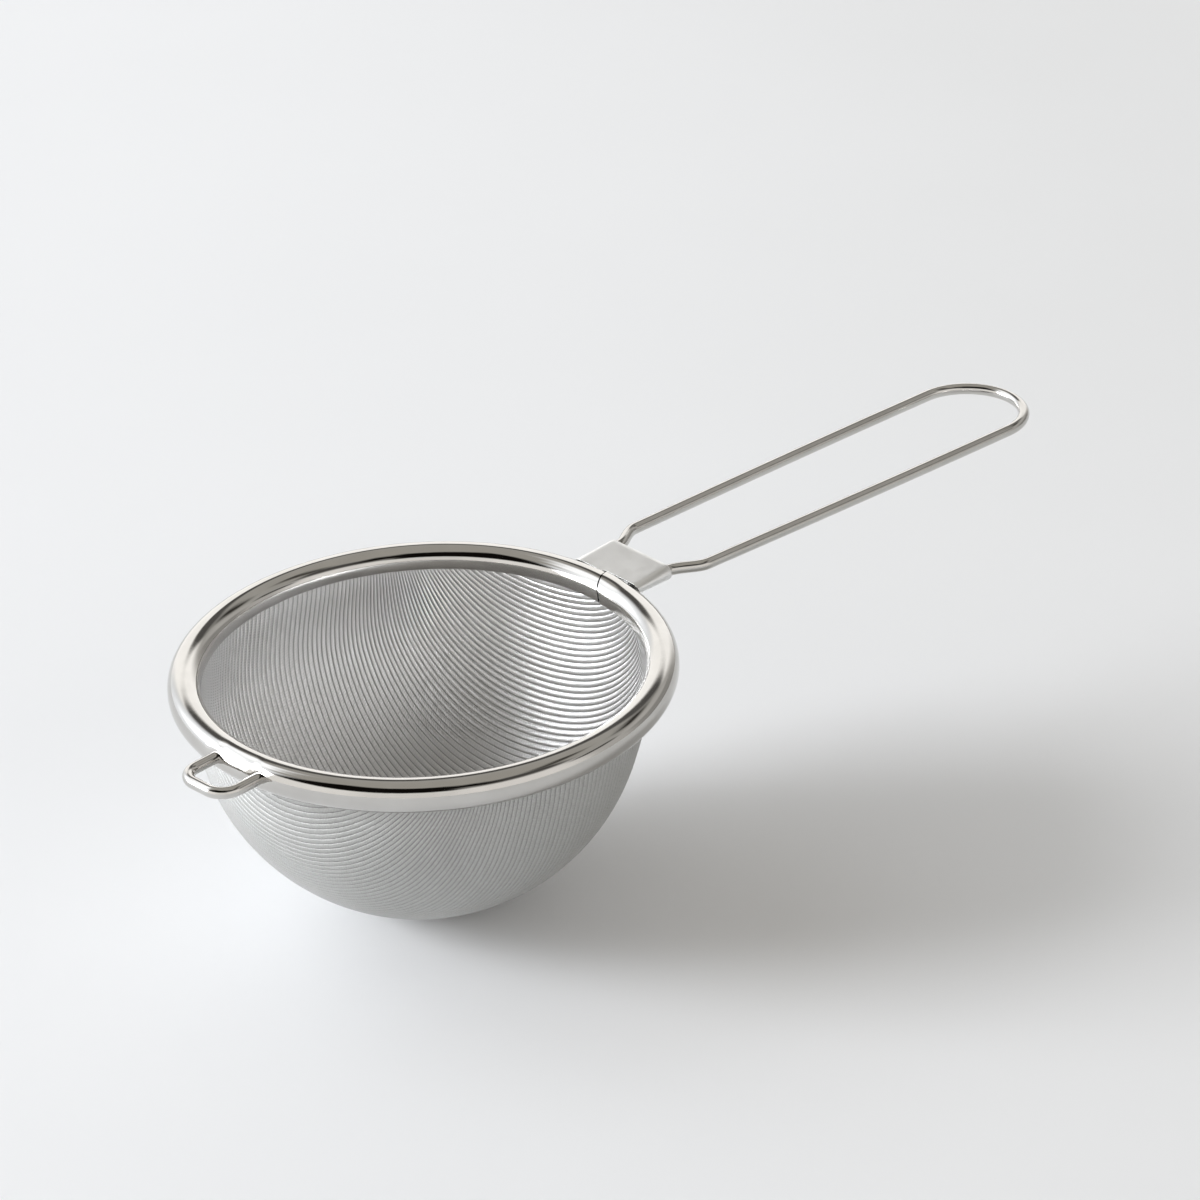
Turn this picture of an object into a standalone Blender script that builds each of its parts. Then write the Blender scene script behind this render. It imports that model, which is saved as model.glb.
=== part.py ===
"""Tea strainer of stainless steel: a mesh bowl in a rolled rim, with a wire handle and a rest hook.

Metres, +Z up.  The origin is the middle of the small flat at the bottom of the bowl, +X points
along the handle, and the bowl's axis is the Z axis.  Six pieces, each one closed body:

    mesh_bowl       the woven bowl, as a thin shell of the cloth's thickness
    rim_band        the strip that is rolled over the bowl's edge, open at its butt seam
    rim_core_wire   the ring of wire inside the rolled bead
    handle_bracket  the plate at the root of the handle, with a sleeve curled round each leg
    handle_wire     the handle, one wire bent into a long loop
    rest_hook       the short wire loop opposite, which rests on the rim of the cup
"""
import math

import bmesh
import bpy
from mathutils import Matrix, Vector

MM = 0.001
GAP = 0.2 * MM                 # clearance between neighbouring pieces

# Bowl
BOWL_RADIUS = 35.5 * MM        # outside radius of the round part
FOOT_RADIUS = 4.6 * MM         # flat at the bottom
CLOTH = 0.4 * MM               # thickness of the woven cloth, drawn thin
COLLAR_RISE = 0.6 * MM         # upper edge of the cloth above the rim's widest line
SEGMENTS = 72                  # facets round the bowl and the rim

# Heights above the foot
BOWL_CENTRE_Z = math.sqrt(BOWL_RADIUS ** 2 - FOOT_RADIUS ** 2)
RIM_Z = BOWL_CENTRE_Z + 3.6 * MM       # height of the rim's widest line

# Rim: a bead of rolled strip, with a lip outside the cloth and a band inside it
RIM_RADIUS = 40.0 * MM         # outside
CREST_RADIUS = 37.3 * MM       # radius of the line along the top of the bead
CREST_RISE = 2.72 * MM         # top of the bead above its widest line
BAND_RADIUS = 34.6 * MM        # inner face of the band
BAND_DROP = 0.4 * MM           # lower edge of the band below the widest line
LIP_RADIUS = 36.1 * MM         # lower edge of the lip
LIP_DROP = 3.15 * MM
STRIP = 0.3 * MM               # thickness of the strip
SEAM_WIDTH = 0.3 * MM
SEAM_ANGLE = math.radians(0.6)
QUARTER_STEPS = 5              # straight pieces in each quarter of the bead's outline
CORE_RADIUS = 37.6 * MM
CORE_DIAMETER = 2.2 * MM

# Wire of the handle and the hook
WIRE_DIAMETER = 1.8 * MM
WIRE_SIDES = 12

# Handle
LEG_IN_SLEEVE = 6.0 * MM       # distance of each leg from the middle, in the bracket
LEG_AFTER_BEND = 8.7 * MM      # just past the outward bend
LEG_AT_END = 9.65 * MM         # where the round end begins
LEG_START_X = 40.2 * MM
BEND_START_X = 46.6 * MM
BEND_END_X = 53.0 * MM
END_CENTRE_X = 122.0 * MM
LEG_RISE_AT_ROOT = 1.8 * MM    # height of the wire's centre line above the rim's widest line
LEG_RISE_AT_END = 0.4 * MM

# Bracket
PLATE = 0.35 * MM
SLEEVE_INNER = WIRE_DIAMETER / 2 + 0.15 * MM
SLEEVE_OUTER = SLEEVE_INNER + PLATE
PLATE_START_X = 38.0 * MM      # before the front edge is cut to the bead
PLATE_FRONT_RADIUS = 39.0 * MM         # front edge of the flat, an arc round the bowl's axis
PLATE_END_X = 46.3 * MM
SLEEVE_OPENING = math.radians(62)      # part of the sleeve's circle that stays open, underneath
SLEEVE_STEPS = 18

# Hook
HOOK_LEG = 4.7 * MM            # distance of each leg from the loop's middle
HOOK_END_X = -46.9 * MM
HOOK_CORNER = 3.2 * MM
HOOK_ROOT_X = -38.95 * MM      # ends of the legs, just outside the core wire
HOOK_RISE = 0.3 * MM
HOOK_ANGLE = math.radians(3.0)         # the loop sits a little to one side of the handle's line


def clear_scene():
    for existing in list(bpy.data.objects):
        bpy.data.objects.remove(existing, do_unlink=True)


def material(name, colour, roughness):
    made = bpy.data.materials.new(name)
    made.use_nodes = True
    shader = made.node_tree.nodes["Principled BSDF"]
    shader.inputs["Base Color"].default_value = (*colour, 1.0)
    shader.inputs["Roughness"].default_value = roughness
    shader.inputs["Metallic"].default_value = 1.0
    return made


def add_object(name, data, finish):
    made = bpy.data.objects.new(name, data)
    bpy.context.scene.collection.objects.link(made)
    if finish:
        data.materials.append(finish)
    return made


def shade_round(mesh):
    mesh.shade_smooth()
    mesh.set_sharp_from_angle(angle=math.radians(35))


def turned(name, profile, finish, gap_angle=0.0, gap_middle=0.0):
    """Turn a closed outline of (radius, height) points about Z; a gap leaves two flat ends."""
    shape = bmesh.new()
    count = SEGMENTS + 1 if gap_angle else SEGMENTS
    sweep = math.tau - gap_angle
    rings = []
    for step in range(count):
        angle = gap_middle + gap_angle / 2 + sweep * step / SEGMENTS
        turn = Vector((math.cos(angle), math.sin(angle), 0.0))
        rings.append([shape.verts.new(turn * r + Vector((0, 0, z))) for r, z in profile])
    pairs = list(zip(rings, rings[1:]))
    if gap_angle:
        shape.faces.new(rings[0])
        shape.faces.new(rings[-1])
    else:
        pairs.append((rings[-1], rings[0]))
    size = len(profile)
    for near, far in pairs:
        for i in range(size):
            j = (i + 1) % size
            shape.faces.new((near[i], near[j], far[j], far[i]))
    bmesh.ops.recalc_face_normals(shape, faces=shape.faces)
    mesh = bpy.data.meshes.new(name)
    shape.to_mesh(mesh)
    shape.free()
    shade_round(mesh)
    return add_object(name, mesh, finish)


def arc(centre_r, centre_z, half_width, half_height, start, end, steps):
    """Points along an ellipse, angles in degrees from the outward direction."""
    points = []
    for step in range(steps + 1):
        angle = math.radians(start + (end - start) * step / steps)
        points.append((centre_r + half_width * math.cos(angle),
                       centre_z + half_height * math.sin(angle)))
    return points


def wire(name, points, finish, diameter=WIRE_DIAMETER, sides=WIRE_SIDES, closed=False):
    curve = bpy.data.curves.new(name, "CURVE")
    curve.dimensions = "3D"
    curve.bevel_depth = diameter / 2
    curve.bevel_resolution = sides // 2 - 2
    curve.use_fill_caps = not closed
    spline = curve.splines.new("POLY")
    spline.points.add(len(points) - 1)
    for target, point in zip(spline.points, points):
        target.co = (*point, 1.0)
    spline.use_cyclic_u = closed
    spline.use_smooth = True
    return add_object(name, curve, finish)


def cut(target, cutter):
    cutter.hide_render = True
    cutter.display_type = "WIRE"
    modifier = target.modifiers.new("cut_" + cutter.name, "BOOLEAN")
    modifier.operation = "DIFFERENCE"
    modifier.object = cutter


def make_bowl(finish):
    """The cloth: a flat foot, the round part, and a straight collar that goes up into the rim."""
    def face(offset):
        radius = BOWL_RADIUS - offset
        foot_angle = math.degrees(math.asin(FOOT_RADIUS / BOWL_RADIUS))
        points = arc(0, BOWL_CENTRE_Z, radius, radius, foot_angle - 90, 0, 12)
        return points + [(radius, RIM_Z + COLLAR_RISE)]

    outside = face(0.0)
    inside = face(CLOTH)
    shape = bmesh.new()
    rows = []
    for r, z in outside + inside[::-1]:
        row = []
        for step in range(SEGMENTS):
            angle = math.tau * step / SEGMENTS
            row.append(shape.verts.new((r * math.cos(angle), r * math.sin(angle), z)))
        rows.append(row)
    for low, high in zip(rows, rows[1:]):
        for i in range(SEGMENTS):
            j = (i + 1) % SEGMENTS
            shape.faces.new((low[i], low[j], high[j], high[i]))
    shape.faces.new(rows[0])
    shape.faces.new(rows[-1])
    bmesh.ops.recalc_face_normals(shape, faces=shape.faces)
    mesh = bpy.data.meshes.new("mesh_bowl")
    shape.to_mesh(mesh)
    shape.free()
    shade_round(mesh)
    return add_object("mesh_bowl", mesh, finish)


def bead_outline(offset):
    """The rim's skin from the band's lower edge, over the bead, to the lip's lower edge."""
    points = [(BAND_RADIUS + offset, RIM_Z - BAND_DROP)]
    points += arc(CREST_RADIUS, RIM_Z, CREST_RADIUS - BAND_RADIUS - offset, CREST_RISE - offset,
                  180, 90, QUARTER_STEPS)
    points += arc(CREST_RADIUS, RIM_Z, RIM_RADIUS - CREST_RADIUS - offset, CREST_RISE - offset,
                  90, 0, QUARTER_STEPS)[1:]
    points += arc(LIP_RADIUS, RIM_Z, RIM_RADIUS - LIP_RADIUS - offset, LIP_DROP - offset,
                  0, -90, QUARTER_STEPS)[1:]
    return points


def make_rim(finish):
    profile = bead_outline(0.0) + bead_outline(STRIP)[::-1]
    return turned("rim_band", profile, finish, SEAM_WIDTH / CREST_RADIUS, SEAM_ANGLE)


def make_core(finish):
    points = []
    for step in range(SEGMENTS):
        angle = math.tau * step / SEGMENTS
        points.append((CORE_RADIUS * math.cos(angle), CORE_RADIUS * math.sin(angle), RIM_Z))
    return wire("rim_core_wire", points, finish, CORE_DIAMETER, 8, closed=True)


def smooth_step(t):
    return t * t * (3 - 2 * t)


def leg_y(x):
    """Distance of a leg from the middle line: parallel, a double bend, then slowly wider."""
    if x <= BEND_START_X:
        return LEG_IN_SLEEVE
    if x <= BEND_END_X:
        along = (x - BEND_START_X) / (BEND_END_X - BEND_START_X)
        return LEG_IN_SLEEVE + (LEG_AFTER_BEND - LEG_IN_SLEEVE) * smooth_step(along)
    along = (x - BEND_END_X) / (END_CENTRE_X - BEND_END_X)
    return LEG_AFTER_BEND + (LEG_AT_END - LEG_AFTER_BEND) * math.sin(along * math.pi / 2)


def leg_z(x):
    along = max(0.0, (x - BEND_START_X) / (END_CENTRE_X - BEND_START_X))
    return RIM_Z + LEG_RISE_AT_ROOT + (LEG_RISE_AT_END - LEG_RISE_AT_ROOT) * along


def handle_points():
    stations = [LEG_START_X, BEND_START_X - 1.0 * MM]
    bend_steps = 10
    for step in range(bend_steps + 1):
        stations.append(BEND_START_X + (BEND_END_X - BEND_START_X) * step / bend_steps)
    run_steps = 9
    for step in range(1, run_steps + 1):
        stations.append(BEND_END_X + (END_CENTRE_X - BEND_END_X) * step / run_steps)
    leg = [Vector((x, leg_y(x), leg_z(x))) for x in stations]
    round_end = []
    turn_steps = 20
    for step in range(1, turn_steps):
        angle = math.pi / 2 - math.pi * step / turn_steps
        x = END_CENTRE_X + LEG_AT_END * math.cos(angle)
        round_end.append(Vector((x, LEG_AT_END * math.sin(angle), leg_z(x))))
    return leg + round_end + [Vector((p.x, -p.y, p.z)) for p in reversed(leg)]


def make_handle(finish):
    return wire("handle_wire", handle_points(), finish)


def make_bracket(finish):
    """A plate whose two sides are curled down and round the legs, cut to the bead in front."""
    axis_z = RIM_Z + LEG_RISE_AT_ROOT
    turn = math.tau - SLEEVE_OPENING

    def side(radius):
        """One curled side at +Y, from the top of the sleeve round to its opening."""
        points = []
        for step in range(SLEEVE_STEPS + 1):
            angle = math.pi / 2 - turn * step / SLEEVE_STEPS
            points.append((LEG_IN_SLEEVE + radius * math.cos(angle),
                           axis_z + radius * math.sin(angle)))
        return points

    outer = side(SLEEVE_OUTER)
    inner = side(SLEEVE_INNER)
    right = outer + inner[::-1]
    left = [(-y, z) for y, z in reversed(right)]
    section = right + left
    shape = bmesh.new()
    ends = []
    for x in (PLATE_START_X, PLATE_END_X):
        ends.append([shape.verts.new((x, y, z)) for y, z in section])
    near, far = ends
    for i in range(len(section)):
        j = (i + 1) % len(section)
        shape.faces.new((near[i], near[j], far[j], far[i]))
    shape.faces.new(near)
    shape.faces.new(far)
    bmesh.ops.recalc_face_normals(shape, faces=shape.faces)
    mesh = bpy.data.meshes.new("handle_bracket")
    shape.to_mesh(mesh)
    shape.free()
    shade_round(mesh)
    bracket = add_object("handle_bracket", mesh, finish)
    clear = GAP + 0.1 * MM
    half_width = RIM_RADIUS - CREST_RADIUS + clear
    front_angle = math.degrees(math.acos((PLATE_FRONT_RADIUS - CREST_RADIUS) / half_width))
    around_bead = arc(CREST_RADIUS, RIM_Z, half_width, CREST_RISE + clear, -90, front_angle, 12)
    above = RIM_Z + 2 * CREST_RISE
    around_bead += [(PLATE_FRONT_RADIUS, above), (CREST_RADIUS - half_width, above)]
    around_bead.append((CREST_RADIUS - half_width, RIM_Z - CREST_RISE))
    cut(bracket, turned("bead_clearance", around_bead, None))
    return bracket


def hook_points():
    """A loop with rounded corners, from one root in the bead to the other."""
    z = RIM_Z + HOOK_RISE
    corner_steps = 8
    half = [Vector((HOOK_ROOT_X, HOOK_LEG, z))]
    for step in range(corner_steps + 1):
        angle = math.pi / 2 * step / corner_steps
        x = HOOK_END_X + HOOK_CORNER * (1 - math.sin(angle))
        half.append(Vector((x, HOOK_LEG - HOOK_CORNER * (1 - math.cos(angle)), z)))
    loop = half + [Vector((p.x, -p.y, p.z)) for p in reversed(half)]
    turn = Matrix.Rotation(HOOK_ANGLE, 4, "Z")
    return [turn @ point for point in loop]


def make_hook(finish, rim):
    points = hook_points()
    hook = wire("rest_hook", points, finish)
    hole_radius = WIRE_DIAMETER / 2 + GAP
    lie_down = Matrix.Rotation(HOOK_ANGLE, 4, "Z") @ Matrix.Rotation(math.pi / 2, 4, "Y")
    for number, root in enumerate((points[0], points[-1])):
        mesh = bpy.data.meshes.new(f"hook_hole_{number}")
        shape = bmesh.new()
        bmesh.ops.create_cone(shape, cap_ends=True, segments=WIRE_SIDES, radius1=hole_radius,
                              radius2=hole_radius, depth=3.0 * MM,
                              matrix=Matrix.Translation(root) @ lie_down)
        shape.to_mesh(mesh)
        shape.free()
        cut(rim, add_object(f"hook_hole_{number}", mesh, None))
    return hook


def main():
    clear_scene()
    woven = material("woven_steel", (0.55, 0.55, 0.54), 0.38)
    polished = material("polished_steel", (0.72, 0.71, 0.69), 0.12)
    plain_wire = material("bright_wire", (0.66, 0.65, 0.63), 0.16)
    plate = material("satin_steel", (0.74, 0.74, 0.73), 0.32)
    hidden = material("dull_wire", (0.45, 0.45, 0.44), 0.45)
    hook_wire = material("hook_wire", (0.68, 0.67, 0.65), 0.14)
    make_bowl(woven)
    rim = make_rim(polished)
    make_core(hidden)
    make_bracket(plate)
    make_handle(plain_wire)
    make_hook(hook_wire, rim)


main()
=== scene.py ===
"""Looks of the tea strainer: ribbed wire cloth, rolled rim with its seam, bracket, handle and rest hook.

Metres, +Z up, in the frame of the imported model: the handle points along +X and the bowl's axis is Z.
"""
import math

import bpy
import numpy as np
from mathutils import Matrix, Vector


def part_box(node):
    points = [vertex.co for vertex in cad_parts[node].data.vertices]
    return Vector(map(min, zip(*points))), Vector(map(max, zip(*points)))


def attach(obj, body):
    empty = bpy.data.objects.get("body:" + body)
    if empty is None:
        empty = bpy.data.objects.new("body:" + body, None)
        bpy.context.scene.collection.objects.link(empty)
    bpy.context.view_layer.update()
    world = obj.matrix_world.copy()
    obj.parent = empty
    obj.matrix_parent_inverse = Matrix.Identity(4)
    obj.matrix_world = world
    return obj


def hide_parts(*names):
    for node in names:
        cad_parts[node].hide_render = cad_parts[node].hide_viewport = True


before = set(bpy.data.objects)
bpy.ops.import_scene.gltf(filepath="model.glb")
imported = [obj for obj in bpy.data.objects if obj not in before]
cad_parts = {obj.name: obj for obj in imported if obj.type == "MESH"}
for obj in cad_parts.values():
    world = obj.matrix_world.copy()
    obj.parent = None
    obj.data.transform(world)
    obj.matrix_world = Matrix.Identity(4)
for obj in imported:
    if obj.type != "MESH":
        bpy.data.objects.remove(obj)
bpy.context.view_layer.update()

MM = 0.001

# Places read from the frame
RIM_LOW, RIM_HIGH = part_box("rim_band")
CORE_LOW, CORE_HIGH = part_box("rim_core_wire")
HANDLE_LOW, HANDLE_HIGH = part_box("handle_wire")
HOOK_LOW, HOOK_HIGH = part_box("rest_hook")
BRACKET_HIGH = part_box("handle_bracket")[1]

# Rim: a bead of rolled strip, with a lip outside the cloth and a band inside it
RIM_Z = (CORE_LOW.z + CORE_HIGH.z) / 2      # height of the bead's widest line
RIM_RADIUS = RIM_HIGH.y                     # outside
CREST_RISE = RIM_HIGH.z - RIM_Z
LIP_DROP = RIM_Z - RIM_LOW.z
CREST_RADIUS = RIM_RADIUS - 2.7 * MM
BAND_RADIUS = RIM_RADIUS - 5.15 * MM
BAND_DROP = 0.55 * MM
LIP_RADIUS = RIM_RADIUS - 4.2 * MM          # the lip's lower edge, outside the cloth
STRIP = 0.3 * MM                            # thickness
INNER_STRAIGHT = 0.7 * MM                   # the inner face is upright below this height
INNER_FULLNESS = 1.85
OUTER_FULLNESS = 2.3
STRIP_WAVE = 0.012 * MM                     # unevenness all round

# Butt seam of the rim: it slants, and the end on the -Y side stands a little proud
SEAM_GAP = math.radians(0.20)               # half the gap at the lip
SEAM_WEDGE = 1.6                            # how much wider it is at the band
SEAM_AT_LIP = math.radians(3.9)
SEAM_AT_BAND = math.radians(-4.3)
SEAM_FADE = math.radians(25)                # the strip's crosswise lines are square again from here
PROUD = 0.16 * MM
PROUD_FADE = math.radians(9)

# The bead is pressed in where the hook is let in; heights on the bead in degrees above its widest line
PRESSED_FLAT = 0.28 * MM                    # between the hook's legs
FLAT_FADE = 1.2 * MM                        # over this length inside each leg
FLAT_HEIGHT = 42
DENT = 0.45 * MM                            # at each leg
DENT_HEIGHT = 12
DENT_SPREAD = 1.3 * MM                      # to each side of a leg
PRESSED_SPREAD = 26                         # up and down the bead, in degrees

# Wire cloth
CLOTH_RADIUS = RIM_RADIUS - 4.8 * MM        # middle of the cloth's thickness
CENTRE_Z = RIM_Z - 3.6 * MM                 # centre of the bowl's round part
COLLAR_RISE = 0.6 * MM                      # upper edge above the bead's widest line
CLOTH_HALF = 0.3 * MM                       # half the cloth's thickness, on the ribs
VALLEY_HALF = 0.1 * MM                      # and in the valleys
RIB_PITCH = 1.01 * MM
RIB_STEPS = (0.0, 0.07, 0.22, 0.5, 0.78, 0.93)
RIB_UNEVENNESS = 0.06
RIBS_PRESSED = 0.6                          # share of their height that the rim takes away
PRESSED_FROM = 1.6 * MM                     # it begins this far below the bead's widest line
PRESSED_OVER = 1.2 * MM                     # and is full after this much rise
ALONG_STEP = 1.3 * MM
WEFT_PITCH = 0.46 * MM                      # between the wires that show on one rib
NET_YAW = math.radians(11.5)                # the cloth lies a little askew to the handle
NET_TILT = (-2.5 * MM, 0.8 * MM)            # its straightest threads cross off the bowl's middle
NET_TURN = (0.06, -0.074)                   # how those threads wander, radians for each radian
NET_MARGIN = 0.2                            # radians that the net reaches past a quarter turn
SLUMP = (-0.78 * MM, 0.56 * MM)             # the bowl hangs a little off the rim's axis
SLUMP_FROM = 1.0 * MM                       # it begins this far below the bead's widest line
SLUMP_DEPTH = 13 * MM                       # and is full after this depth

# Wire of the handle and the hook
WIRE_RADIUS = 0.96 * MM
WIRE_SIDES = 24
WIRE_DOME = ((0.35, 0.94), (0.7, 0.71), (0.92, 0.38))    # rings of an end: way out, share of the radius
DOME_LENGTH = WIRE_RADIUS / 2
WIRE_SHARP = math.radians(60)               # edges above this angle are not smoothed
SHEET_SHARP = math.radians(50)

# Handle
LEG_IN_SLEEVE = 6.0 * MM
LEG_AFTER_BEND = 8.7 * MM
LEG_AT_END = HANDLE_HIGH.y - WIRE_RADIUS
LEG_START_X = HANDLE_LOW.x
BEND_START_X = LEG_START_X + 6.4 * MM
BEND_END_X = LEG_START_X + 12.8 * MM
END_CENTRE_X = HANDLE_HIGH.x - WIRE_RADIUS - LEG_AT_END
LEG_RISE_AT_ROOT = 1.8 * MM
LEG_RISE_AT_END = 0.4 * MM
LEG_PRESSED = 0.2 * MM                      # the sleeve holds the leg this much lower,
LEG_FREE_X = BEND_START_X - 1 * MM          # up to here
LEG_FREE_FADE = 4 * MM

# Bracket
PLATE = 0.24 * MM
PLATE_ROUNDING = 0.05 * MM                  # of the sheet's edges
SLEEVE_RADIUS = 1.24 * MM                   # middle of the sheet, round the leg
SLEEVE_OPENING = math.radians(62)
PLATE_FRONT_X = 38.6 * MM
PLATE_STEP = 0.35 * MM                      # beyond the seam the plate stops this much further back
PLATE_END_X = BRACKET_HIGH.x
PLATE_STEP_Y = 1.2 * MM                     # the step begins here
PLATE_STEP_FADE = 1.0 * MM
PLATE_DIP = 0.68 * MM                       # the flat slopes down towards the bead
BEAD_CLEARANCE = 0.05 * MM
PLATE_STEPS = 14
PLATE_CROWDING = 1.3                        # above 1, the steps are closer together at the front

# Rest hook
HOOK_LEG = 4.85 * MM
HOOK_ASIDE = -0.25 * MM                     # the loop is a little off the middle
HOOK_CORNER = 3.2 * MM
HOOK_ANGLE = math.radians(3.0)
HOOK_END_X = HOOK_LOW.x + WIRE_RADIUS + 0.35 * MM
HOOK_ROOT_X = -38.95 * MM
HOOK_Z = (HOOK_LOW.z + HOOK_HIGH.z) / 2

# Steel finishes: colour, darker clouds, roughness, spread of it, scratch scale, scratch depth
POLISHED = ((0.585, 0.572, 0.55), (0.55, 0.537, 0.515), 0.07, 0.03, (1, 1, 6), 0.002 * MM)
BRIGHT_WIRE = ((0.57, 0.556, 0.533), (0.53, 0.516, 0.493), 0.11, 0.04, (0.3, 2, 2), 0.006 * MM)
HOOK_WIRE = ((0.60, 0.586, 0.563), (0.55, 0.536, 0.513), 0.10, 0.04, (0.5, 2, 2), 0.005 * MM)
SATIN = ((0.84, 0.84, 0.83), (0.80, 0.80, 0.79), 0.38, 0.06, (0.4, 4, 4), 0.01 * MM)
# painted shade: the bracket's cut edges are painted dark, for the dark line along the plate's front and at
# the seam
EDGE_SHADE_FINISH = ((0.20, 0.20, 0.19), (0.14, 0.14, 0.13), 0.5, 0.1, (1, 1, 1), 0.01 * MM)
DRAWN_WIRE = ((0.48, 0.48, 0.47), (0.40, 0.40, 0.39), 0.42, 0.08, (1, 1, 4), 0.02 * MM)
# painted shade, nearly black, on the strip's hidden side and cut ends: the shade inside the roll and in the
# seam's gap
HIDDEN_SIDE_SHADE = (0.02, 0.02, 0.02)                  # on the strip's hidden side and cut ends

# Colours of the cloth and the table, each a pair that clouds mix
# one steel on both sides: the outside is painted darker as painted shade, the inside lighter as painted
# light
CLOTH_OUTSIDE_SHADED = ((0.49, 0.49, 0.48), (0.55, 0.55, 0.54))
CLOTH_INSIDE_LIT = ((0.75, 0.745, 0.74), (0.83, 0.825, 0.82))
# painted shade in the valleys between ribs
CLOTH_VALLEY_SHADE = (0.10, 0.10, 0.10)
# painted shade between the small wires across a rib
CLOTH_GAP_SHADE = (0.12, 0.12, 0.12)
WEFT_RELIEF = 0.06 * MM
KEEP_POSITIVE = (400.0, 900.0)              # whole numbers added to u and v before they are cut up
# painted light and shade on the table: lighter and cooler towards the window, darker on the far side
TABLE_LIT_NEAR_WINDOW = ((0.84, 0.845, 0.855), (0.875, 0.88, 0.89))
TABLE_SHADED_FAR_SIDE = ((0.715, 0.715, 0.71), (0.75, 0.75, 0.75))
TABLE_FALL = (-0.1, 0.22)                   # metres across, where one goes over into the other
TABLE_HALF = 4.0

# The studio's front: bearings of the surroundings are anticlockwise from it
FRONT_BEARING = math.radians(-128.77)

# Camera
CAMERA_AIM = Vector((34.72 * MM, -2.84 * MM, RIM_Z))
CAMERA_BEARING = math.radians(-131.13)
CAMERA_RISE = math.radians(28.721)
CAMERA_DISTANCE = 798.81 * MM
CAMERA_ROLL = math.radians(-2.593)
CAMERA_LENS = 150.0                         # lens and sensor in millimetres
CAMERA_SENSOR = 36.0

# Surroundings, in degrees: bearing from the front, and height above the horizon
ROOM = ((0.51, 0.50, 0.475), (0.49, 0.47, 0.43))         # low and overhead
ROOM_CHANGES = (30, 75)
BACK_WALL = (1.5, 1.48, 1.45)
BACK_WALL_SIDES = (140, 160)                # it fades in here on both sides
BACK_WALL_TOP = (28, 34)                    # and out here
BACK_EDGE = (0.12, 0.115, 0.11)             # a dark line above the back wall
BACK_EDGE_SIDES = (138, 156)
BACK_EDGE_FOOT = (30, 34)
BACK_EDGE_TOP = (41, 46)
DOWN = -100                                 # low edge of a card that reaches below the horizon

# Cards, later ones over earlier ones: left, right, low, high, softness sideways and upwards, colour
RIGHT_CARDS = (
    (76, 140, DOWN, 33, 8, 6, (0.62, 0.605, 0.58)),
    (98, 140, DOWN, 20, 8, 4, (0.38, 0.37, 0.355)))
FRONT_CARDS = (
    (-84, 74, DOWN, 36, 10, 4, (1.0, 0.98, 0.95)),
    (-84, -34, DOWN, 33, 14, 6, (1.2, 1.18, 1.15)),
    (14, 60, DOWN, 33, 8, 6, (1.1, 1.07, 1.04)))
WINDOW_CARDS = (
    (-150, -82, DOWN, 50, 10, 5, (1.3, 1.34, 1.4)),
    (-134, -100, 12, 40, 10, 6, (2.4, 2.5, 2.6)),
    (-150, -106, 44, 58, 8, 5, (1.8, 1.84, 1.9)),
    (-104, -79, 11, 32, 4, 4, (23.2, 23.8, 24.7)))
DARK_CARDS = (
    (70, 114, 55, 64, 8, 4, (0.08, 0.075, 0.065)),
    (112, 142, 37, 46, 8, 4, (0.05, 0.045, 0.04)),
    (68, 94, 27, 34, 6, 3, (0.06, 0.055, 0.05)),
    (20, 74, 41, 60, 8, 5, (0.10, 0.095, 0.09)),
    (-80, 14, 35, 71, 8, 4, (0.006, 0.005, 0.004)),
    (-40, 36, 47, 66, 9, 7, (0.006, 0.005, 0.004)))


# ---------------------------------------------------------------- meshes

def mesh_object(name, points, faces, material):
    mesh = bpy.data.meshes.new(name)
    mesh.from_pydata([tuple(p) for p in points], [], [tuple(f) for f in faces])
    mesh.validate()
    mesh.shade_smooth()
    mesh.materials.append(material)
    made = bpy.data.objects.new(name, mesh)
    bpy.context.scene.collection.objects.link(made)
    return made


def grid_faces(rows, columns, closed):
    """Quads between points stored row by row; a closed grid also joins the last column to the first."""
    faces = []
    for row in range(rows - 1):
        for k in range(columns if closed else columns - 1):
            n = (k + 1) % columns
            faces.append((row * columns + k, row * columns + n,
                          (row + 1) * columns + n, (row + 1) * columns + k))
    return faces


def store_vectors(made, name, values):
    attribute = made.data.attributes.new(name, "FLOAT_VECTOR", "POINT")
    attribute.data.foreach_set("vector", np.asarray(values, np.float32).ravel())


def store_by_face(made, name, values):
    attribute = made.data.attributes.new(name, "FLOAT", "FACE")
    attribute.data.foreach_set("value", np.asarray(values, np.float32))


def smooth_step(t):
    t = np.clip(t, 0.0, 1.0)
    return t * t * (3 - 2 * t)


def bell(x, middle, spread):
    return np.exp(-((x - middle) / spread) ** 2)


def unit(vectors):
    return vectors / np.linalg.norm(vectors, axis=-1, keepdims=True)


# ---------------------------------------------------------------- wire cloth

def great_circle(direction, turn, distances):
    """Points on a unit sphere at angles from its lowest point; the bearing turns on the way."""
    bearing = direction + turn * distances
    return np.stack([np.cos(bearing) * np.sin(distances), np.sin(bearing) * np.sin(distances),
                     -np.cos(distances)], axis=-1)


def net_quarter(across, along, across_way, along_way):
    """Corners of a net laid on a unit sphere.  Each cell keeps its side lengths and only shears,
    as woven cloth does when it is pressed into a bowl."""
    net = np.zeros((len(across), len(along), 3))
    net[:, 0] = great_circle(across_way, NET_TURN[0], across)
    net[0, :] = great_circle(along_way, NET_TURN[1], along)
    for diagonal in range(2, len(across) + len(along) - 1):
        i = np.arange(max(1, diagonal - len(along) + 1), min(len(across), diagonal))
        j = diagonal - i
        middle = unit(net[i, j - 1] + net[i - 1, j])
        corner = net[i - 1, j - 1]
        net[i, j] = 2 * (corner * middle).sum(axis=1, keepdims=True) * middle - corner
    return net


def connected(below):
    """Corners that are reached from the net's middle without leaving the bowl."""
    return np.logical_and.accumulate(below, 0) & np.logical_and.accumulate(below, 1)


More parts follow.
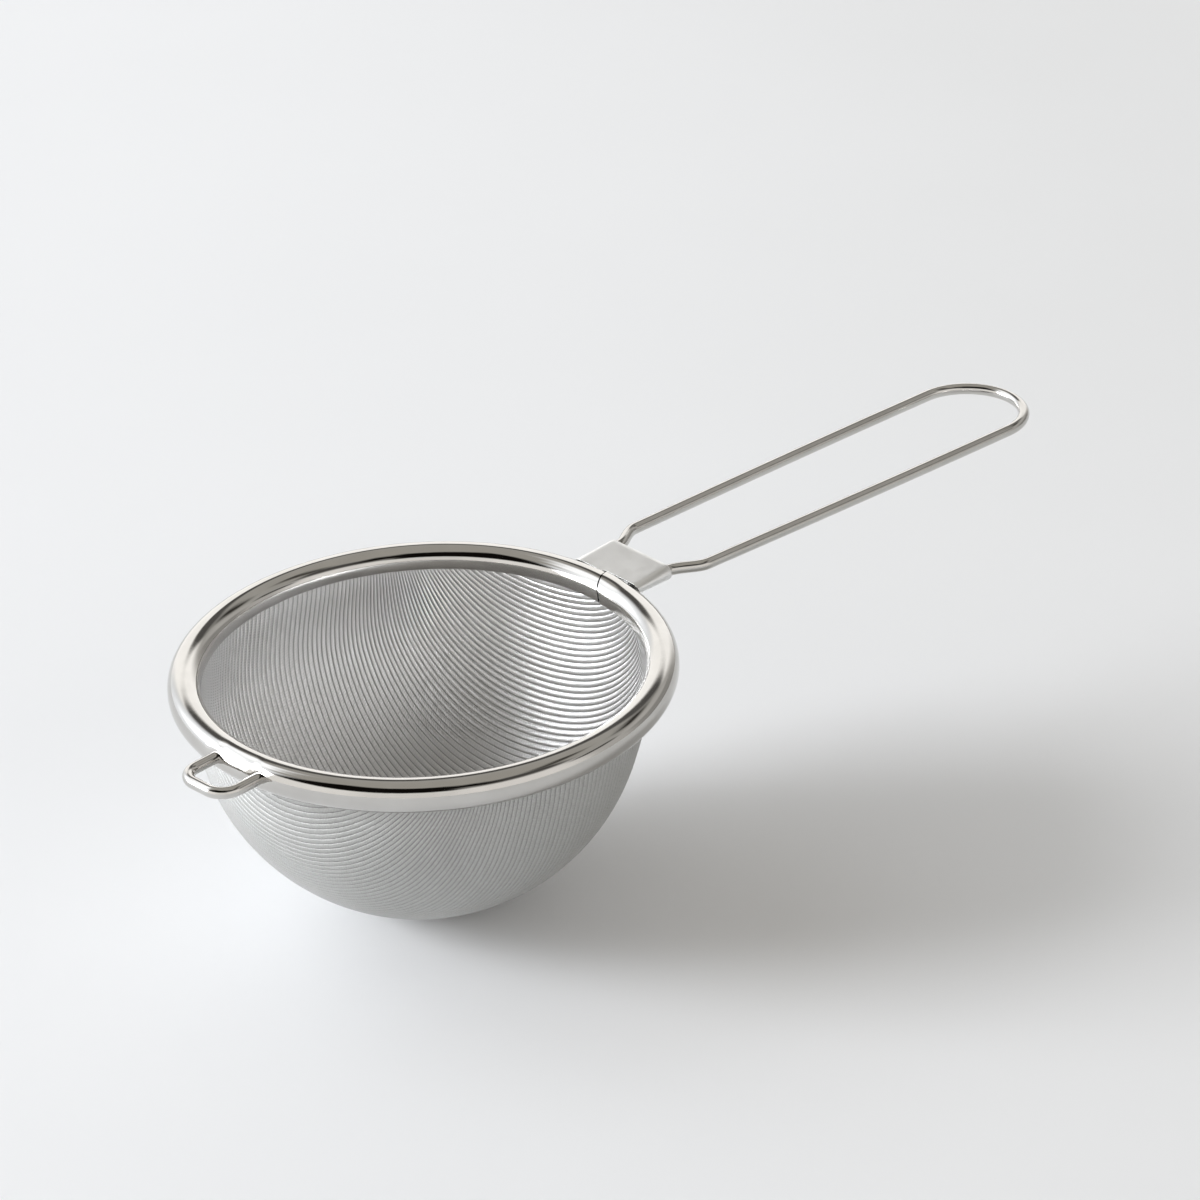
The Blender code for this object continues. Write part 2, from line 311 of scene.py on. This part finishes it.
def cloth_net(top):
    """The whole net: unit directions, which corners lie below the top, and each corner's u and v.
    u counts ribs and v counts weft wires along a rib."""
    reach = math.pi / 2 + NET_MARGIN
    rib_angle = RIB_PITCH / CLOTH_RADIUS
    ribs = int(reach / rib_angle)
    across = np.array([(k + t) * rib_angle for k in range(ribs) for t in RIB_STEPS])
    along = np.arange(int(reach * CLOTH_RADIUS / ALONG_STEP)) * ALONG_STEP / CLOTH_RADIUS
    shift = Vector((NET_TILT[0], NET_TILT[1], 0.0)) / CLOTH_RADIUS
    tilt = np.array(Matrix.Rotation(shift.length, 3, Vector((0, 0, -1)).cross(shift)))
    rows = len(across)
    columns = len(along)
    net = np.zeros((2 * rows - 1, 2 * columns - 1, 3))
    inside = np.zeros(net.shape[:2], bool)
    for u_side in (0, 1):
        for v_side in (0, 1):
            quarter = net_quarter(across, along, NET_YAW + u_side * math.pi,
                                  NET_YAW + math.pi / 2 + v_side * math.pi) @ tilt.T
            i = rows - 1 + (1 - 2 * u_side) * np.arange(rows)
            j = columns - 1 + (1 - 2 * v_side) * np.arange(columns)
            net[np.ix_(i, j)] = quarter
            inside[np.ix_(i, j)] = connected(np.arcsin(quarter[..., 2].clip(-1, 1)) < top)
    u = np.concatenate([-across[:0:-1], across]) / rib_angle
    v = np.concatenate([-along[:0:-1], along]) * CLOTH_RADIUS / WEFT_PITCH
    return net, inside, *np.meshgrid(u, v, indexing="ij")


def cloth_surface(directions, top):
    """Middle of the cloth and its normal: a round bowl on a small flat foot, with an upright collar."""
    height = np.arcsin(directions[..., 2].clip(-1, 1)).clip(max=top)
    flat = unit(directions[..., :2])
    ring = np.where(height > 0, 1.0, np.cos(height))
    rise = np.where(height > 0, height, np.sin(height))
    points = np.concatenate([flat * ring[..., None], rise[..., None]], axis=-1) * CLOTH_RADIUS
    normals = np.concatenate([flat * ring[..., None], np.minimum(rise, 0)[..., None]], axis=-1)
    points[..., 2] = np.maximum(points[..., 2] + CENTRE_Z, CLOTH_HALF)
    return points, unit(normals)


def rib_shape(u):
    """Height across a rib, from 0 in the valley to 1 on the crest: fuller than a half circle."""
    across = np.abs(2 * (u % 1.0) - 1)
    return np.sqrt(np.clip(1 - across ** 3, 0, 1))


def half_thickness(u, v, heights):
    """Half the cloth's thickness: ribs, a little uneven, and pressed flatter under the rim."""
    uneven = 1 + RIB_UNEVENNESS * np.sin(u * 2.1 + 0.3 * np.sin(v * 0.05)) * np.sin(v * 0.043 + u * 0.7)
    pressed = 1 - RIBS_PRESSED * smooth_step((heights - RIM_Z + PRESSED_FROM) / PRESSED_OVER)
    half = VALLEY_HALF + (CLOTH_HALF - VALLEY_HALF) * rib_shape(u) * uneven * pressed
    return half.clip(max=CLOTH_HALF)


def slumped(points):
    """The bowl moved a little to one side, more and more below the rim."""
    depth = smooth_step((RIM_Z - SLUMP_FROM - points[:, 2]) / SLUMP_DEPTH)
    points = points.copy()
    points[:, 0] += SLUMP[0] * depth
    points[:, 1] += SLUMP[1] * depth
    return points


def border_edges(corners):
    """Directed edges that only one of the faces has."""
    edges = {}
    for face in corners:
        for a, b in zip(face, np.roll(face, -1)):
            if (b, a) in edges:
                del edges[(b, a)]
            else:
                edges[(a, b)] = True
    return edges


def make_cloth(material):
    """The cloth as a closed shell: outer side, inner side, and a skirt along the cut edge."""
    top = (RIM_Z + COLLAR_RISE - CENTRE_Z) / CLOTH_RADIUS
    net, inside, u, v = cloth_net(top)
    points, normals = cloth_surface(net, top)
    cell = inside[:-1, :-1] | inside[1:, :-1] | inside[:-1, 1:] | inside[1:, 1:]
    used = np.zeros(inside.shape, bool)
    for di in (0, 1):
        for dj in (0, 1):
            used[di:di + cell.shape[0], dj:dj + cell.shape[1]] |= cell
    count = int(used.sum())
    number = np.full(inside.shape, -1)
    number[used] = np.arange(count)
    points = points[used]
    normals = normals[used]
    u = u[used]
    v = v[used]
    half = half_thickness(u, v, points[:, 2])
    outer = slumped(points + normals * half[:, None])
    inner = slumped(points - normals * half[:, None])
    i, j = np.nonzero(cell)
    corners = np.stack([number[i, j], number[i + 1, j], number[i + 1, j + 1], number[i, j + 1]], axis=1)
    skirt = [(b, a, a + count, b + count) for a, b in border_edges(corners)]
    faces = [tuple(face) for face in corners] + [tuple(face[::-1] + count) for face in corners] + skirt
    made = mesh_object("woven_bowl", np.concatenate([outer, inner]), faces, material)
    outside_weave = np.stack([u, v, np.zeros(count)], axis=1)
    inside_weave = np.stack([u, v, np.ones(count)], axis=1)
    store_vectors(made, "weave", np.concatenate([outside_weave, inside_weave]))
    return made


# ---------------------------------------------------------------- rim

def arc(centre_r, centre_z, half_width, half_height, start, end, steps, fullness=2.0):
    """Points along an ellipse, angles in degrees from the outward direction.
    A fullness above 2 makes the curve squarer."""
    angles = np.radians(np.linspace(start, end, steps + 1))
    across = np.cos(angles)
    up = np.sin(angles)
    across = np.sign(across) * np.abs(across) ** (2 / fullness)
    up = np.sign(up) * np.abs(up) ** (2 / fullness)
    return list(zip(centre_r + half_width * across, centre_z + half_height * up))


def skin(inset):
    """The strip's face from the band's lower edge, over the bead, to the lip's lower edge."""
    points = [(BAND_RADIUS + inset, -BAND_DROP)]
    points += arc(CREST_RADIUS, INNER_STRAIGHT, CREST_RADIUS - BAND_RADIUS - inset,
                  CREST_RISE - INNER_STRAIGHT - inset, 180, 90, 18, INNER_FULLNESS)
    points += arc(CREST_RADIUS, 0, RIM_RADIUS - CREST_RADIUS - inset, CREST_RISE - inset, 90, 0, 16,
                  OUTER_FULLNESS)[1:]
    points += arc(LIP_RADIUS, 0, RIM_RADIUS - LIP_RADIUS - inset, LIP_DROP - inset, 0, -90, 12)[1:]
    return points


def strip_outline():
    """Closed outline of the strip as (radius, height).  Also each point's share of the way over the
    bead, from the band's edge to the lip's, and whether the side that starts at it is a hidden one."""
    outer = skin(0.0)
    inner = skin(STRIP)[::-1]
    half = STRIP / 2
    lip_edge = arc(LIP_RADIUS, -LIP_DROP + half, half, half, 270, 90, 4)[1:-1]
    band_edge = arc(BAND_RADIUS + half, -BAND_DROP, half, half, 360, 180, 4)[1:-1]
    along = np.linspace(0, 1, len(outer))
    shares = list(along) + [1.0] * len(lip_edge) + list(along[::-1]) + [0.0] * len(band_edge)
    hidden = [0.0] * (len(outer) + len(lip_edge)) + [1.0] * (len(inner) - 1) + [0.0] * (len(band_edge) + 1)
    return np.array(outer + lip_edge + inner + band_edge), np.array(shares), np.array(hidden)


def rim_stations():
    """Angles round the rim from one end of the strip to the other, closer together at the seam."""
    even = np.radians(np.arange(6.0, 354.1, 1.0))
    fine = np.radians(np.arange(0.0, 6.0, 0.25))
    return np.concatenate([fine, even, math.tau - fine[::-1]])


def pressed_at_hook(angles, outline):
    """How deep the bead is pressed in, at each angle and outline point, where the hook is let in."""
    height = np.degrees(np.arctan2(outline[:, 1], outline[:, 0] - CREST_RADIUS))
    side = (angles - math.pi - HOOK_ANGLE) * RIM_RADIUS + HOOK_ASIDE
    between_legs = smooth_step((HOOK_LEG - np.abs(side)) / FLAT_FADE)
    at_legs = bell(side, -HOOK_LEG, DENT_SPREAD) + bell(side, HOOK_LEG, DENT_SPREAD)
    flat = PRESSED_FLAT * between_legs[:, None] * bell(height, FLAT_HEIGHT, PRESSED_SPREAD)[None, :]
    dents = DENT * at_legs[:, None] * bell(height, DENT_HEIGHT, PRESSED_SPREAD)[None, :]
    return flat + dents


def make_rim(material):
    """The strip swept round the rim, with its two cut ends facing each other at the seam."""
    outline, shares, hidden = strip_outline()
    stations = rim_stations()
    size = len(outline)
    from_seam = np.minimum(stations, math.tau - stations)
    fade = 1 - smooth_step(from_seam / SEAM_FADE)
    end_side = np.where(stations < math.pi, 1.0, -1.0)
    gap = SEAM_GAP * (1 + SEAM_WEDGE * (1 - shares) ** 3)
    slant = SEAM_AT_BAND + (SEAM_AT_LIP - SEAM_AT_BAND) * shares
    angles = stations[:, None] + fade[:, None] * (end_side[:, None] * gap[None, :] + slant[None, :])
    face_normal = unit(outline - np.array([CREST_RADIUS, 0]))
    lift = PROUD * (1 - smooth_step(from_seam / PROUD_FADE)) * (stations > math.pi)
    wave = STRIP_WAVE * (np.sin(3 * stations + 0.7) + 0.6 * np.sin(7 * stations + 2.0))
    move = (lift + wave)[:, None] - pressed_at_hook(stations, outline)
    r = outline[None, :, 0] + move * face_normal[None, :, 0]
    z = outline[None, :, 1] + move * face_normal[None, :, 1] + RIM_Z
    points = np.stack([r * np.cos(angles), r * np.sin(angles), z], axis=-1).reshape(-1, 3)
    last = (len(stations) - 1) * size
    cut_ends = [tuple(range(size))[::-1], tuple(range(last, last + size))]
    made = mesh_object("rolled_rim", points, grid_faces(len(stations), size, True) + cut_ends, material)
    made.data.set_sharp_from_angle(angle=SHEET_SHARP)
    # the cut ends count with the hidden side, so they get the same painted shade
    store_by_face(made, "hidden_side", list(np.tile(hidden, len(stations) - 1)) + [1.0] * len(cut_ends))
    return made


# ---------------------------------------------------------------- wires

def tube(name, path, material):
    """A round wire along a path, with domed ends."""
    path = [Vector(p) for p in path]
    tangents = []
    for k in range(len(path)):
        before = path[max(k - 1, 0)]
        after = path[min(k + 1, len(path) - 1)]
        tangents.append((after - before).normalized())
    stations = [(path[0] - tangents[0] * DOME_LENGTH * out, tangents[0], share)
                for out, share in reversed(WIRE_DOME)]
    stations += [(p, t, 1.0) for p, t in zip(path, tangents)]
    stations += [(path[-1] + tangents[-1] * DOME_LENGTH * out, tangents[-1], share)
                 for out, share in WIRE_DOME]
    points = []
    for centre, tangent, share in stations:
        side = tangent.cross(Vector((0, 0, 1))).normalized()
        up = side.cross(tangent)
        for s in range(WIRE_SIDES):
            angle = math.tau * s / WIRE_SIDES
            points.append(centre + (side * math.cos(angle) + up * math.sin(angle)) * WIRE_RADIUS * share)
    last = (len(stations) - 1) * WIRE_SIDES
    ends = [list(range(WIRE_SIDES))[::-1], [last + s for s in range(WIRE_SIDES)]]
    made = mesh_object(name, points, grid_faces(len(stations), WIRE_SIDES, True) + ends, material)
    made.data.set_sharp_from_angle(angle=WIRE_SHARP)
    return made


def leg_y(x):
    """Distance of a leg from the middle line: parallel, a double bend, then slowly wider."""
    if x <= BEND_START_X:
        return LEG_IN_SLEEVE
    if x <= BEND_END_X:
        along = (x - BEND_START_X) / (BEND_END_X - BEND_START_X)
        return LEG_IN_SLEEVE + (LEG_AFTER_BEND - LEG_IN_SLEEVE) * float(smooth_step(along))
    along = (x - BEND_END_X) / (END_CENTRE_X - BEND_END_X)
    return LEG_AFTER_BEND + (LEG_AT_END - LEG_AFTER_BEND) * math.sin(along * math.pi / 2)


def leg_z(x):
    """Height of a leg: it comes down slowly towards the end, and the sleeve presses it down at the root."""
    along = max(0.0, (x - BEND_START_X) / (END_CENTRE_X - BEND_START_X))
    pressed = LEG_PRESSED * float(smooth_step((LEG_FREE_X - x) / LEG_FREE_FADE))
    return RIM_Z + LEG_RISE_AT_ROOT + (LEG_RISE_AT_END - LEG_RISE_AT_ROOT) * along - pressed


def make_handle(material):
    stations = [LEG_START_X, LEG_START_X + 3 * MM]
    stations += list(np.linspace(BEND_START_X - 0.8 * MM, BEND_END_X + 0.8 * MM, 28))
    stations += list(np.linspace(BEND_END_X, END_CENTRE_X, 36)[1:])
    leg = [Vector((x, leg_y(x), leg_z(x))) for x in stations]
    round_end = []
    for angle in np.linspace(math.pi / 2, -math.pi / 2, 49)[1:-1]:
        x = END_CENTRE_X + LEG_AT_END * math.cos(angle)
        round_end.append(Vector((x, LEG_AT_END * math.sin(angle), leg_z(x))))
    path = leg + round_end + [Vector((p.x, -p.y, p.z)) for p in reversed(leg)]
    return tube("wire_handle", path, material)


def make_hook(material):
    straight = np.linspace(HOOK_ROOT_X, HOOK_END_X + HOOK_CORNER, 6)
    half = [Vector((x, HOOK_LEG, HOOK_Z)) for x in straight]
    for angle in np.linspace(0, math.pi / 2, 16)[1:]:
        x = HOOK_END_X + HOOK_CORNER * (1 - math.sin(angle))
        half.append(Vector((x, HOOK_LEG - HOOK_CORNER * (1 - math.cos(angle)), HOOK_Z)))
    path = half + [Vector((p.x, -p.y, p.z)) for p in reversed(half)]
    turn = Matrix.Rotation(HOOK_ANGLE, 4, "Z") @ Matrix.Translation((0.0, HOOK_ASIDE, 0.0))
    return tube("wire_hook", [turn @ p for p in path], material)


# ---------------------------------------------------------------- bracket

def bracket_section():
    """Middle line of the sheet across the handle: sleeve, plate, sleeve, as (y, height)."""
    turn = math.tau - SLEEVE_OPENING
    right = []
    for step in range(31):
        angle = math.pi / 2 - turn * (30 - step) / 30
        right.append((LEG_IN_SLEEVE + SLEEVE_RADIUS * math.cos(angle),
                      LEG_RISE_AT_ROOT + SLEEVE_RADIUS * math.sin(angle)))
    across = np.linspace(LEG_IN_SLEEVE, -LEG_IN_SLEEVE, 25)[1:-1]
    flat = [(y, LEG_RISE_AT_ROOT + SLEEVE_RADIUS) for y in across]
    left = [(-y, z) for y, z in reversed(right)]
    return right + flat + left


def front_limit(y, z):
    """Where the sheet has to stop to clear the bead, at this distance from the middle and height."""
    clear = BEAD_CLEARANCE + PLATE / 2
    half_width = RIM_RADIUS - CREST_RADIUS + clear
    half_height = (CREST_RISE if z > 0 else LIP_DROP) + clear
    share = min(abs(z) / half_height, 1.0)
    radius = CREST_RADIUS + half_width * (1 - share ** OUTER_FULLNESS) ** (1 / OUTER_FULLNESS)
    plate_front = PLATE_FRONT_X + PLATE_STEP * float(smooth_step((PLATE_STEP_Y - y) / PLATE_STEP_FADE))
    return max(math.sqrt(radius ** 2 - y * y), plate_front)


def make_bracket(material, edge_material):
    section = bracket_section()
    points = []
    for y, z in section:
        start = front_limit(y, z)
        upper = float(smooth_step((z - LEG_RISE_AT_ROOT) / SLEEVE_RADIUS))
        for k in range(PLATE_STEPS + 1):
            x = start + (PLATE_END_X - start) * (k / PLATE_STEPS) ** PLATE_CROWDING
            dip = PLATE_DIP * (PLATE_END_X - x) / (PLATE_END_X - PLATE_FRONT_X) * upper
            points.append((x, y, RIM_Z + z - dip))
    faces = [(a, d, c, b) for a, b, c, d in grid_faces(len(section), PLATE_STEPS + 1, False)]
    made = mesh_object("bracket_sheet", points, faces, material)
    made.data.materials.append(edge_material)
    thicken = made.modifiers.new("thickness", "SOLIDIFY")
    thicken.thickness = PLATE
    thicken.offset = 0.0
    # the sheet's edges take the second material, painted dark as painted shade
    thicken.material_offset_rim = 1
    rounding = made.modifiers.new("rounded_edges", "BEVEL")
    rounding.width = PLATE_ROUNDING
    rounding.segments = 2
    rounding.limit_method = "ANGLE"
    rounding.angle_limit = SHEET_SHARP
    return made


# ---------------------------------------------------------------- materials

class Nodes:
    """Short hand for building a node tree."""

    def __init__(self, tree):
        self.tree = tree

    def add(self, kind, **settings):
        node = self.tree.nodes.new(kind)
        for name, value in settings.items():
            setattr(node, name, value)
        return node

    def link(self, source, target):
        self.tree.links.new(source, target)

    def feed(self, target, value):
        """Links an output, or sets a plain value; a colour gets its alpha."""
        if hasattr(value, "is_output"):
            self.link(value, target)
        elif target.type == "RGBA":
            target.default_value = (*value, 1.0)
        else:
            target.default_value = value

    def maths(self, operation, a, b=0.0, c=0.0):
        node = self.add("ShaderNodeMath", operation=operation)
        for socket, value in zip(node.inputs, (a, b, c)):
            self.feed(socket, value)
        return node.outputs[0]

    def ramp(self, value, low, high, to_low=0.0, to_high=1.0):
        """A smooth ramp that holds at both ends."""
        node = self.add("ShaderNodeMapRange", interpolation_type="SMOOTHSTEP")
        for socket, item in zip(node.inputs, (value, low, high, to_low, to_high)):
            self.feed(socket, item)
        return node.outputs[0]

    def band(self, value, low, high, soft):
        """1 between two limits and 0 beyond them, with soft edges."""
        return self.maths("MULTIPLY", self.ramp(value, low - soft, low + soft),
                          self.ramp(value, high - soft, high + soft, 1.0, 0.0))

    def noise(self, vector, scale, detail=2.0, roughness=0.5):
        node = self.add("ShaderNodeTexNoise")
        self.feed(node.inputs["Vector"], vector)
        node.inputs["Scale"].default_value = scale
        node.inputs["Detail"].default_value = detail
        node.inputs["Roughness"].default_value = roughness
        return node.outputs["Fac"]

    def scaled(self, vector, factors):
        node = self.add("ShaderNodeVectorMath", operation="MULTIPLY")
        self.feed(node.inputs[0], vector)
        node.inputs[1].default_value = factors
        return node.outputs[0]

    def mixed(self, factor, a, b):
        """A mix of two colours.  Inputs 6 and 7 and output 2 are the colour sockets."""
        node = self.add("ShaderNodeMix", data_type="RGBA")
        self.feed(node.inputs[0], factor)
        self.feed(node.inputs[6], a)
        self.feed(node.inputs[7], b)
        return node.outputs[2]

    def bump(self, height, distance, strength=1.0):
        node = self.add("ShaderNodeBump")
        node.inputs["Strength"].default_value = strength
        node.inputs["Distance"].default_value = distance
        self.feed(node.inputs["Height"], height)
        return node.outputs[0]


def new_material(name):
    """A metal to start from: the material, its nodes and its shader."""
    made = bpy.data.materials.new(name)
    made.use_nodes = True
    nodes = Nodes(made.node_tree)
    shader = made.node_tree.nodes["Principled BSDF"]
    shader.inputs["Metallic"].default_value = 1.0
    return made, nodes, shader


def steel(name, finish, shade_hidden_side=False):
    """Stainless steel: faint cloudy tone, uneven polish and fine scratches.
    For the rim strip, the hidden side inside the roll and the cut ends at the seam are painted nearly black
    as painted shade."""
    colour, dark, roughness, spread, scratch_scale, scratch_depth = finish
    made, nodes, shader = new_material(name)
    place = nodes.add("ShaderNodeTexCoord").outputs["Object"]
    cloud = nodes.noise(place, 140.0, 3.0)
    shade = nodes.mixed(nodes.ramp(cloud, 0.35, 0.7), dark, colour)
    if shade_hidden_side:
        # painted shade: the hidden side and cut ends go nearly black
        hidden = nodes.add("ShaderNodeAttribute", attribute_name="hidden_side").outputs["Fac"]
        shade = nodes.mixed(nodes.ramp(hidden, 0.4, 0.9), shade, HIDDEN_SIDE_SHADE)
    nodes.link(shade, shader.inputs["Base Color"])
    polish = nodes.noise(place, 420.0, 4.0, 0.6)
    nodes.link(nodes.ramp(polish, 0.3, 0.75, roughness - spread, roughness + spread),
               shader.inputs["Roughness"])
    scratches = nodes.noise(nodes.scaled(place, scratch_scale), 1000.0, 3.0, 0.6)
    nodes.link(nodes.bump(scratches, scratch_depth), shader.inputs["Normal"])
    return made


def weft_height(nodes, u, v, side):
    """Height of the fine wires across the ribs, 0 between them and 1 on top.
    They are half a pitch further on at every other rib and on the other side of the cloth."""
    odd_rib = nodes.maths("FLOOR", nodes.maths("MODULO", nodes.maths("ADD", u, KEEP_POSITIVE[0]), 2.0))
    offset = nodes.maths("MULTIPLY_ADD", side, 0.5, nodes.maths("MULTIPLY", odd_rib, 0.5))
    along = nodes.maths("FRACT", nodes.maths("ADD", nodes.maths("ADD", v, KEEP_POSITIVE[1]), offset))
    centred = nodes.maths("MULTIPLY_ADD", along, 2.0, -1.0)
    round_top = nodes.maths("SUBTRACT", 1.0, nodes.maths("MULTIPLY", centred, centred))
    return nodes.maths("SQRT", nodes.maths("MAXIMUM", round_top, 0.0))


def cloth_material():
    """Woven wire: each rib is a row of small wires side by side, with painted shade in the valleys between
    ribs and between the small wires.
    """
    made, nodes, shader = new_material("woven_cloth")
    split = nodes.add("ShaderNodeSeparateXYZ")
    nodes.link(nodes.add("ShaderNodeAttribute", attribute_name="weave").outputs["Vector"], split.inputs[0])
    u, v, side = split.outputs
    wire = weft_height(nodes, u, v, side)
    from_crest = nodes.maths("ABSOLUTE", nodes.maths("SUBTRACT", nodes.maths("FRACT", u), 0.5))
    # painted shade in the valleys between ribs, a little stronger on the inside
    valley = nodes.maths("MULTIPLY", nodes.ramp(from_crest, 0.385, 0.49),
                         nodes.maths("MULTIPLY_ADD", side, 0.05, 0.5))
    # painted shade between the small wires, where their height is low
    gap = nodes.maths("MULTIPLY", nodes.ramp(wire, 0.0, 0.55, 1.0, 0.0), 0.35)
    place = nodes.add("ShaderNodeTexCoord").outputs["Object"]
    cloud = nodes.noise(place, 90.0, 3.0)
    # outside painted darker and inside lighter: painted shade and painted light on one steel
    bright = nodes.mixed(side, nodes.mixed(cloud, *CLOTH_OUTSIDE_SHADED), nodes.mixed(cloud, *CLOTH_INSIDE_LIT))
    shade = nodes.mixed(valley, bright, CLOTH_VALLEY_SHADE)
    nodes.link(nodes.mixed(gap, shade, CLOTH_GAP_SHADE), shader.inputs["Base Color"])
    polish = nodes.ramp(nodes.noise(place, 2600.0, 2.0), 0.3, 0.7, 0.60, 0.74)
    nodes.link(nodes.maths("MULTIPLY_ADD", side, -0.29, polish), shader.inputs["Roughness"])
    nodes.link(nodes.bump(wire, WEFT_RELIEF, 0.7), shader.inputs["Normal"])
    return made


def floor_material():
    """A matt pale table, painted lighter and cooler near the window and darker away from it: painted light
    and shade.
    """
    made, nodes, shader = new_material("pale_table")
    shader.inputs["Metallic"].default_value = 0.0
    shader.inputs["Roughness"].default_value = 0.75
    shader.inputs["Specular IOR Level"].default_value = 0.2
    place = nodes.add("ShaderNodeTexCoord").outputs["Object"]
    cloud = nodes.noise(place, 9.0, 4.0)
    across = nodes.add("ShaderNodeVectorMath", operation="DOT_PRODUCT")
    nodes.link(place, across.inputs[0])
    across.inputs[1].default_value = (-math.sin(FRONT_BEARING), math.cos(FRONT_BEARING), 0.0)
    shade = nodes.mixed(nodes.ramp(across.outputs["Value"], *TABLE_FALL),
                        nodes.mixed(cloud, *TABLE_LIT_NEAR_WINDOW), nodes.mixed(cloud, *TABLE_SHADED_FAR_SIDE))
    nodes.link(shade, shader.inputs["Base Color"])
    return made


# ---------------------------------------------------------------- studio

def make_camera():
    back = Vector((math.cos(CAMERA_BEARING) * math.cos(CAMERA_RISE),
                   math.sin(CAMERA_BEARING) * math.cos(CAMERA_RISE), math.sin(CAMERA_RISE)))
    data = bpy.data.cameras.new("camera")
    data.lens = CAMERA_LENS
    data.sensor_width = CAMERA_SENSOR
    data.clip_start = 0.01
    data.clip_end = 20.0
    made = bpy.data.objects.new("camera", data)
    bpy.context.scene.collection.objects.link(made)
    turn = (-back).to_track_quat("-Z", "Y").to_matrix().to_4x4() @ Matrix.Rotation(CAMERA_ROLL, 4, "Z")
    made.matrix_world = Matrix.Translation(CAMERA_AIM + back * CAMERA_DISTANCE) @ turn
    bpy.context.scene.camera = made


def make_floor():
    corners = [(-TABLE_HALF, -TABLE_HALF, 0), (TABLE_HALF, -TABLE_HALF, 0),
               (TABLE_HALF, TABLE_HALF, 0), (-TABLE_HALF, TABLE_HALF, 0)]
    floor = mesh_object("table", corners, [(0, 1, 2, 3)], floor_material())


def make_world():
    """Soft studio surroundings: a window on the left, pale walls, dark cards, a dim room above."""
    world = bpy.data.worlds.new("studio")
    bpy.context.scene.world = world
    world.use_nodes = True
    nodes = Nodes(world.node_tree)
    turn = nodes.add("ShaderNodeVectorRotate", rotation_type="Z_AXIS")
    nodes.link(nodes.add("ShaderNodeTexCoord").outputs["Generated"], turn.inputs["Vector"])
    turn.inputs["Angle"].default_value = -FRONT_BEARING
    split = nodes.add("ShaderNodeSeparateXYZ")
    nodes.link(turn.outputs[0], split.inputs[0])
    x, y, z = split.outputs
    bearing = nodes.maths("MULTIPLY", nodes.maths("ARCTAN2", y, x), 180 / math.pi)
    rise = nodes.maths("MULTIPLY", nodes.maths("ARCSINE", z), 180 / math.pi)

    def hang(colour, cards):
        for left, right, low, high, soft_side, soft_up, tone in cards:
            cover = nodes.maths("MULTIPLY", nodes.band(bearing, left, right, soft_side),
                                nodes.band(rise, low, high, soft_up))
            colour = nodes.mixed(cover, colour, tone)
        return colour

    aside = nodes.maths("ABSOLUTE", bearing)
    back_wall = nodes.maths("MULTIPLY", nodes.ramp(aside, *BACK_WALL_SIDES),
                            nodes.ramp(rise, *BACK_WALL_TOP, 1.0, 0.0))
    edge_height = nodes.maths("MULTIPLY", nodes.ramp(rise, *BACK_EDGE_FOOT),
                              nodes.ramp(rise, *BACK_EDGE_TOP, 1.0, 0.0))
    back_edge = nodes.maths("MULTIPLY", nodes.ramp(aside, *BACK_EDGE_SIDES), edge_height)
    colour = nodes.mixed(nodes.ramp(rise, *ROOM_CHANGES), *ROOM)
    colour = hang(colour, RIGHT_CARDS)
    colour = nodes.mixed(back_wall, colour, BACK_WALL)
    colour = nodes.mixed(back_edge, colour, BACK_EDGE)
    colour = hang(colour, FRONT_CARDS + WINDOW_CARDS + DARK_CARDS)
    background = world.node_tree.nodes["Background"]
    nodes.link(colour, background.inputs["Color"])
    background.inputs["Strength"].default_value = 1.0


# ---------------------------------------------------------------- put together

def finish_core_wire():
    """The wire inside the bead stays as the CAD has it, with a drawn-wire finish."""
    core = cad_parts["rim_core_wire"]
    core.data.materials.clear()
    core.data.materials.append(steel("drawn_wire", DRAWN_WIRE))


def main():
    bpy.context.scene.view_settings.view_transform = "Standard"
    satin = steel("satin_steel", SATIN)
    # painted shade for the bracket's edges
    edge_shade = steel("edge_painted_shade", EDGE_SHADE_FINISH)
    pieces = (
        (make_cloth(cloth_material()), "mesh_bowl", "woven_steel"),
        (make_rim(steel("polished_steel", POLISHED, shade_hidden_side=True)), "rim_band", "polished_steel"),
        (make_bracket(satin, edge_shade), "handle_bracket", "satin_steel"),
        (make_handle(steel("bright_wire", BRIGHT_WIRE)), "handle_wire", "bright_wire"),
        (make_hook(steel("hook_wire", HOOK_WIRE)), "rest_hook", "hook_wire"),
    )
    for piece, node, slot in pieces:
        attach(piece, "root")
        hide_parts(node)
    finish_core_wire()
    make_floor()
    make_world()
    make_camera()


main()
